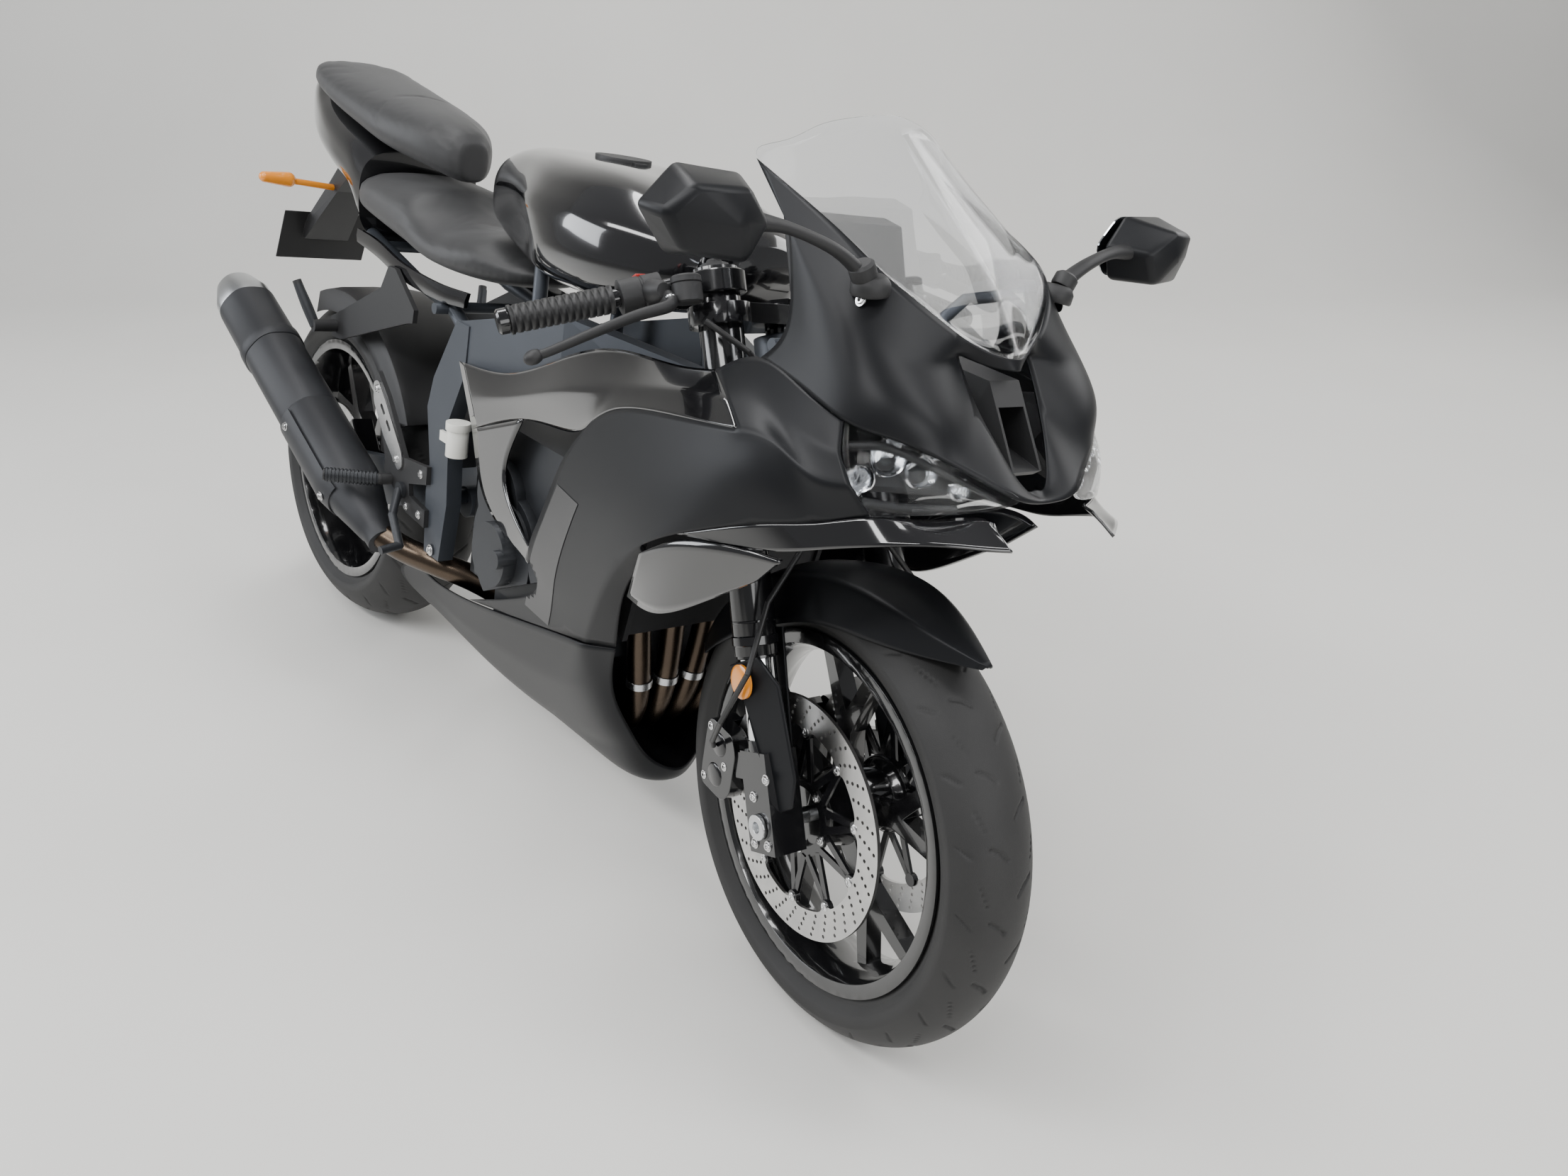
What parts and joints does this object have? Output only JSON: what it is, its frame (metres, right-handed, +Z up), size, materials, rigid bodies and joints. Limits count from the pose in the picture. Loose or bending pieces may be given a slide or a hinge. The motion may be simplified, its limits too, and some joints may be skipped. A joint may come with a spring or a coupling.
{
  "type": "supersport motorcycle",
  "caption": "Sport motorcycle leaning on its side stand, with turning wheels, steering, folding side stand and hinged fuel cap.",
  "frame": {"origin": "floor level, middle of the bounding box in plan", "axes": "+X forward along the machine, +Y to its left, +Z up"},
  "size_m": [2.051, 0.797, 1.0956],
  "materials": {
    "frame_paint": "satin blue-grey black",
    "engine_metal": "satin",
    "steel": "brushed",
    "heat_steel": "heat-tinted bronze brown",
    "silencer_black": "matt heat paint",
    "radiator_black": "matt black",
    "gloss_black": "high gloss",
    "satin_black": "satin metallic",
    "trim_black": "moulded matt",
    "seat_vinyl": "matt grained vinyl",
    "clear_screen": "clear with a faint violet edge",
    "clear_lens": "clear moulded",
    "amber_lens": "ribbed amber",
    "red_lens": "ribbed red",
    "chain_steel": "oiled",
    "fork_black": "gloss",
    "rim_black": "gloss",
    "disc_steel": "brushed and worn",
    "tyre_rubber": "matt",
    "hose_rubber": "satin",
    "white_pot": "translucent white",
    "shock_paint": "satin"
  },
  "bodies": {
    "chassis": {"frame": "frame_paint", "head_tube": "frame_paint", "swingarm": "frame_paint", "rear_axle": "steel", "engine": "engine_metal", "engine_covers": "engine_metal", "radiator": "radiator_black", "exhaust_headers": "heat_steel", "silencer": "silencer_black", "subframe": "frame_paint", "fuel_tank": "gloss_black", "rider_seat": "seat_vinyl", "pillion_seat": "seat_vinyl", "tail_cowl": "gloss_black", "tail_light": "red_lens", "plate_holder": "trim_black", "rear_indicators": "amber_lens", "rear_hugger": "trim_black", "fairing_stay": "frame_paint", "instrument_panel": "trim_black", "upper_cowl": "satin_black", "windscreen": "clear_screen", "intake_duct": "trim_black", "headlamps": "clear_lens", "headlamp_housings": "trim_black", "winglets": "gloss_black", "side_fairings": "satin_black", "side_covers": "gloss_black", "air_blades": "gloss_black", "belly_pan": "gloss_black", "indicator_pods": "trim_black", "front_indicators": "clear_lens", "mirrors": "satin_black", "footrests": "trim_black", "brake_pedal": "engine_metal", "gear_lever": "engine_metal", "pillion_footrests": "trim_black", "chain": "chain_steel", "rear_caliper": "fork_black", "fluid_reservoir": "white_pot", "rear_shock": "shock_paint"},
    "steering": {"yokes": "fork_black", "fork_legs": "fork_black", "front_axle": "steel", "handlebars": "fork_black", "controls": "trim_black", "front_mudguard": "satin_black", "front_calipers": "fork_black", "brake_hoses": "hose_rubber"},
    "front_wheel": {"front_tyre": "tyre_rubber", "front_rim": "rim_black", "front_discs": "disc_steel"},
    "rear_wheel": {"rear_tyre": "tyre_rubber", "rear_rim": "rim_black", "rear_disc": "disc_steel", "rear_sprocket": "chain_steel"},
    "side_stand": {"side_stand": "fork_black"},
    "fuel_cap": {"fuel_cap": "trim_black"}
  },
  "joints": [
    {"name": "steering_turn", "type": "hinge", "parent": "chassis", "child": "steering", "pos_m": [0.70212, -0.14786, 0.28569], "axis": [-0.3991, 0.1907, 0.8968], "range_deg": [-19, 31]},
    {"name": "front_wheel_spin", "type": "hinge", "parent": "steering", "child": "front_wheel", "pos_m": [0.72674, -0.1484, 0.29676], "axis": [0.0959, 0.9815, -0.166], "continuous": true},
    {"name": "rear_wheel_spin", "type": "hinge", "parent": "chassis", "child": "rear_wheel", "pos_m": [-0.67313, -0.14251, 0.3103], "axis": [0.0001, 0.9781, -0.2079], "continuous": true},
    {"name": "stand_fold", "type": "hinge", "parent": "chassis", "child": "side_stand", "pos_m": [-0.1511, -0.00389, 0.24119], "axis": [0, 0.9938, 0.1115], "range_deg": [0, 88]},
    {"name": "cap_lift", "type": "hinge", "parent": "chassis", "child": "fuel_cap", "pos_m": [0.11958, -0.00237, 0.96991], "axis": [0.0001, 0.9781, -0.2079], "range_deg": [0, 95]}
  ]
}
